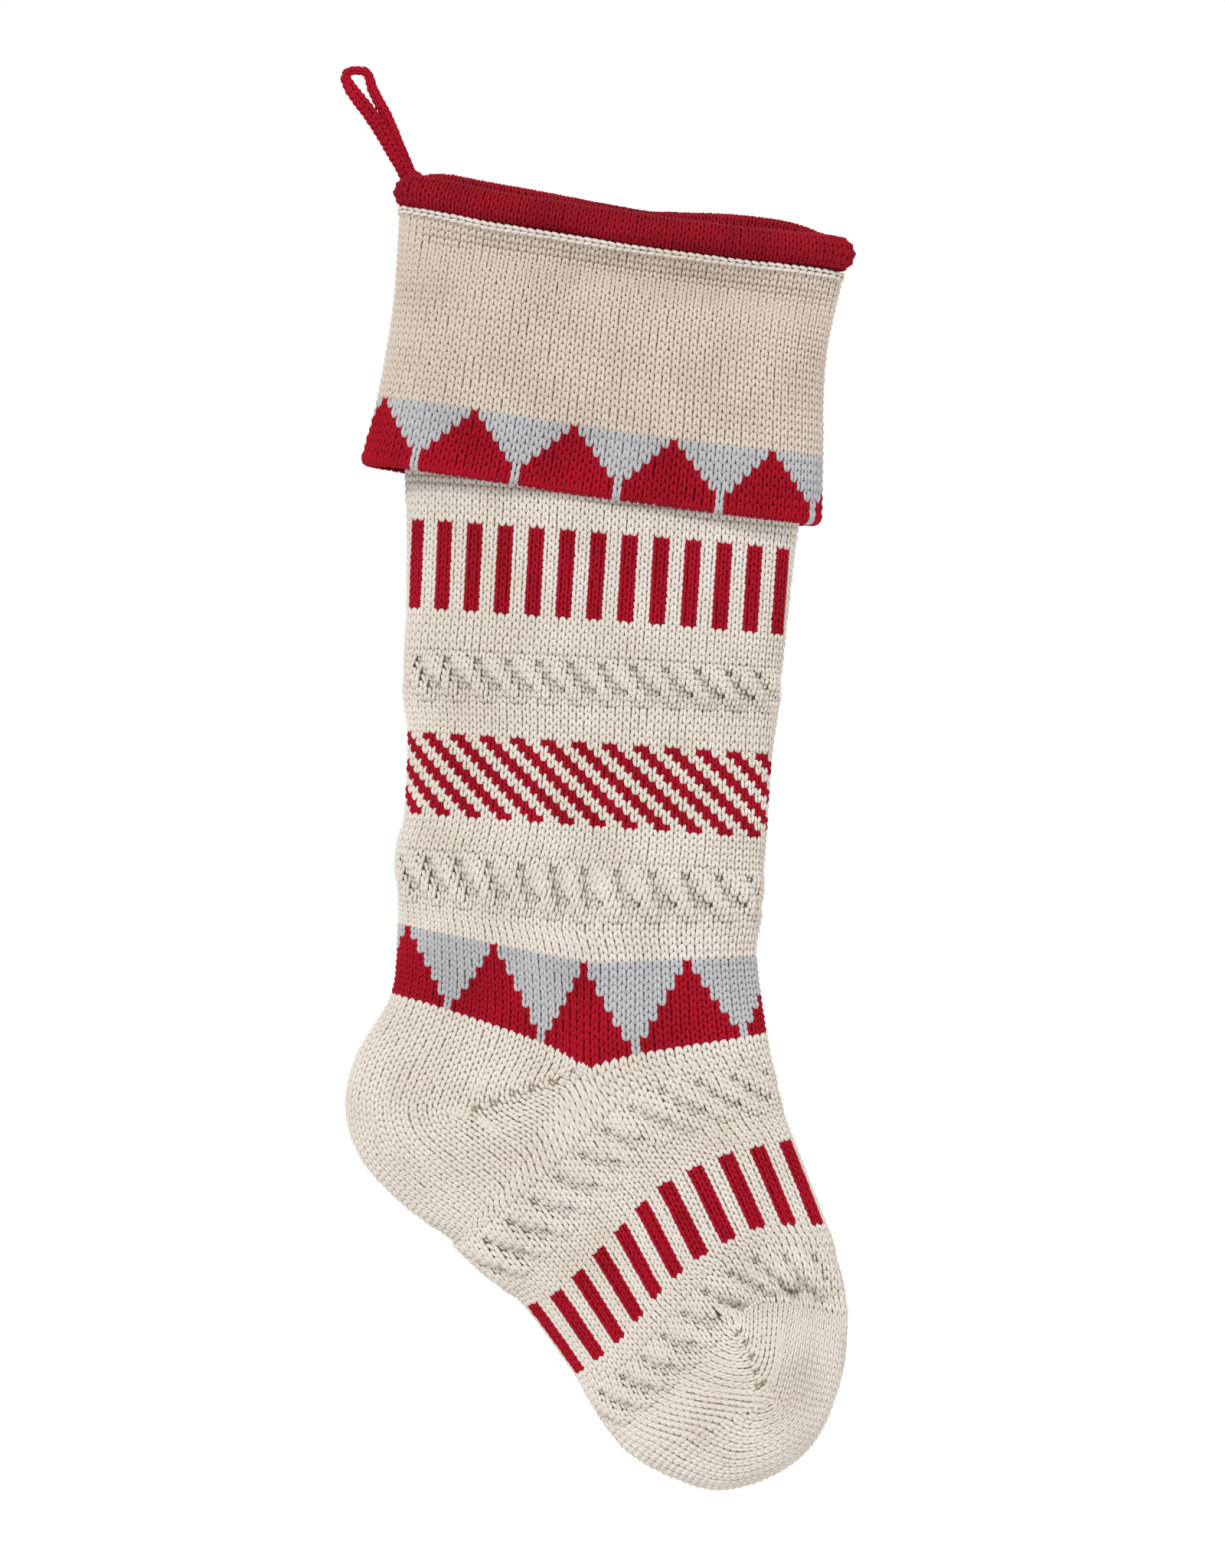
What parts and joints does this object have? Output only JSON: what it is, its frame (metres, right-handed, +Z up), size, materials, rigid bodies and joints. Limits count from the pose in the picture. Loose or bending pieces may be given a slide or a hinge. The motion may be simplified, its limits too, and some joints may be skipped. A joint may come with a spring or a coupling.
{
  "type": "hanging stocking",
  "caption": "Hand-knitted hanging stocking with a rolled rim, turned-down cuff, short-row heel and toe, striped and zigzag bands and a folded cord loop; open hollow inside.",
  "frame": {"origin": "inside top of the hanging loop, where it bears on a nail or hook", "axes": "+Z up, +X towards the toe side, -Y is the front face, +Y faces the wall"},
  "size_m": [0.2047, 0.0452, 0.5736],
  "materials": {
    "cream_knit": "matte",
    "red_cream_knit": "matte",
    "grey_red_knit": "matte",
    "rim_knit": "matte",
    "red_cord": "matte"
  },
  "bodies": {
    "hanger": {"hanging_loop": "red_cord"},
    "tack": {"loop_tack": "red_cord"},
    "stocking": {"rim_binding": "rim_knit", "cuff_panel": "cream_knit", "cuff_zigzag": "grey_red_knit", "leg_top": "cream_knit", "leg_stripes": "red_cream_knit", "leg_plain_a": "cream_knit", "leg_bobbles_a": "cream_knit", "leg_plain_b": "cream_knit", "leg_diagonal": "red_cream_knit", "leg_plain_c": "cream_knit", "leg_bobbles_b": "cream_knit", "leg_plain_d": "cream_knit", "leg_zigzag": "grey_red_knit", "foot_plain_a": "cream_knit", "foot_bobbles_a": "cream_knit", "foot_plain_b": "cream_knit", "foot_stripes": "red_cream_knit", "foot_plain_c": "cream_knit", "foot_bobbles_b": "cream_knit", "heel": "cream_knit", "toe": "cream_knit"}
  },
  "joints": [
    {"name": "loop_swing", "type": "hinge", "parent": "hanger", "child": "tack", "pos_m": [0.0219, 0, -0.0384], "axis": [0, 1, 0], "range_deg": [-20, 20], "stiffness_Nm_per_rad": 0.6, "springref_deg": -14.32},
    {"name": "loop_flop", "type": "hinge", "parent": "tack", "child": "stocking", "pos_m": [0.0219, 0, -0.0384], "axis": [-1, 0, 0], "range_deg": [0, 30]}
  ]
}
